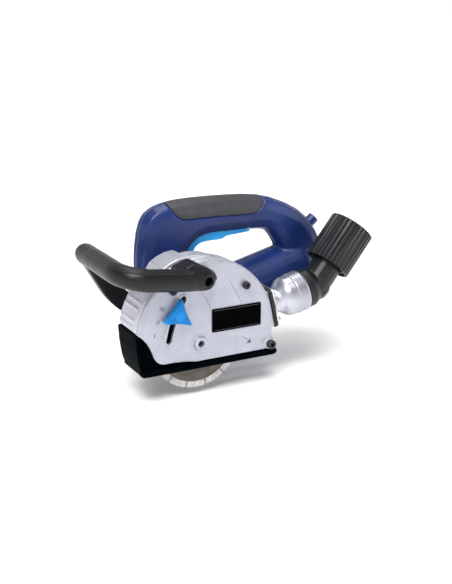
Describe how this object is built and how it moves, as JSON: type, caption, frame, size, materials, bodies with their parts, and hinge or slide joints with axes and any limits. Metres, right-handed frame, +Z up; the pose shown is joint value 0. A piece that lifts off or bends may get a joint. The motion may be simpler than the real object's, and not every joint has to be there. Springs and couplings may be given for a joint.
{
  "type": "wall chaser",
  "caption": "Electric wall chaser: twin diamond discs in a cast guard with a swinging depth sole, D-handle motor housing, front handle and swivelling dust port.",
  "frame": {"origin": "on the sole's running face, straight below the spindle axis, in the plane of the side cover's outer face", "axes": "+X to the rear along the sole, +Y from the cover towards the motor, +Z up from the sole"},
  "size_m": [0.3885, 0.1705, 0.225],
  "materials": {
    "cast_aluminium": "satin",
    "turned_aluminium": "satin",
    "black_steel": "satin",
    "zinc_steel": "satin",
    "ground_steel": "satin",
    "diamond_disc": "satin",
    "lamination": "satin",
    "copper": "satin",
    "brass": "satin",
    "carbon": "matte",
    "black_label": "gloss",
    "sole_black": "satin",
    "handle_black": "satin",
    "moulded_black": "satin",
    "navy_housing": "satin",
    "bright_blue": "satin",
    "grip_rubber": "matte",
    "gasket_rubber": "matte"
  },
  "bodies": {
    "machine": {"disc_guard": "cast_aluminium", "side_cover": "cast_aluminium", "cover_screw_front": "black_steel", "cover_screw_rear": "black_steel", "pivot_bolt": "black_steel", "nameplate": "black_label", "spindle_bearing_near": "ground_steel", "spindle_bearing_far": "ground_steel", "gear_housing": "cast_aluminium", "stator": "lamination", "motor_bearing_front": "ground_steel", "motor_bearing_rear": "ground_steel", "carbon_brush_near": "carbon", "brush_holder_near": "brass", "carbon_brush_far": "carbon", "brush_holder_far": "brass", "housing_near": "navy_housing", "housing_far": "navy_housing", "housing_screw_1": "zinc_steel", "housing_screw_2": "zinc_steel", "housing_screw_3": "zinc_steel", "housing_screw_4": "zinc_steel", "housing_screw_5": "zinc_steel", "soft_grip": "grip_rubber", "trigger_pin": "zinc_steel", "switch_module": "moulded_black", "cord_inlet": "navy_housing", "front_handle": "handle_black", "handle_screw_near": "black_steel", "handle_screw_far": "black_steel", "port_gasket": "gasket_rubber", "dust_port": "turned_aluminium", "port_screw_1": "zinc_steel", "port_screw_2": "zinc_steel", "port_screw_3": "zinc_steel", "port_screw_4": "zinc_steel"},
    "sole": {"depth_sole": "sole_black", "clamp_bolt": "zinc_steel", "clamp_washer": "zinc_steel"},
    "knob": {"clamp_knob": "bright_blue"},
    "cutter": {"disc_near": "diamond_disc", "disc_far": "diamond_disc", "spindle": "ground_steel", "spacer_sleeve": "ground_steel", "clamp_flange": "ground_steel", "crown_gear": "ground_steel"},
    "rotor": {"pinion": "ground_steel", "armature_shaft": "ground_steel", "armature_core": "lamination", "commutator": "copper", "cooling_fan": "moulded_black"},
    "trigger_lever": {"trigger": "bright_blue"},
    "lock_pin": {"spindle_lock": "moulded_black"},
    "elbow": {"port_elbow": "moulded_black"},
    "collar": {"hose_collar": "moulded_black"}
  },
  "joints": [
    {"name": "depth_swing", "type": "hinge", "parent": "machine", "child": "sole", "pos_m": [0.101, 0.02, 0.015], "axis": [0, -1, 0], "range_deg": [0, 12.6]},
    {"name": "clamp_knob_turn", "type": "hinge", "parent": "sole", "child": "knob", "pos_m": [-0.03196, 0, 0.07531], "axis": [0, -1, 0], "range_deg": [0, 270]},
    {"name": "cutter_spin", "type": "hinge", "parent": "machine", "child": "cutter", "pos_m": [0, 0.02, 0.0325], "axis": [0, 1, 0], "continuous": true},
    {"name": "rotor_spin", "type": "hinge", "parent": "machine", "child": "rotor", "pos_m": [0, 0.102, 0.0325], "axis": [0.9703, 0, 0.2419], "continuous": true},
    {"name": "trigger_pull", "type": "hinge", "parent": "machine", "child": "trigger_lever", "pos_m": [0.118, 0.102, 0.149], "axis": [0, 1, 0], "range_deg": [0, 4.5], "stiffness_Nm_per_rad": 1.5, "springref_deg": -2.86},
    {"name": "spindle_lock_press", "type": "slide", "parent": "machine", "child": "lock_pin", "axis": [1, 0, 0], "range_m": [0, 0.004], "stiffness_N_per_m": 400, "springref_m": -0.002},
    {"name": "elbow_swivel", "type": "hinge", "parent": "machine", "child": "elbow", "pos_m": [0.15859, 0.027, 0.07037], "axis": [0.9744, 0, 0.225], "range_deg": [0, 110]},
    {"name": "collar_turn", "type": "hinge", "parent": "elbow", "child": "collar", "pos_m": [0.22431, 0.03069, 0.12154], "axis": [0.6568, 0.0614, 0.7516], "continuous": true}
  ],
  "couplings": [
    {"joint": "rotor_spin", "follows": "cutter_spin", "ratio": 3.2}
  ]
}
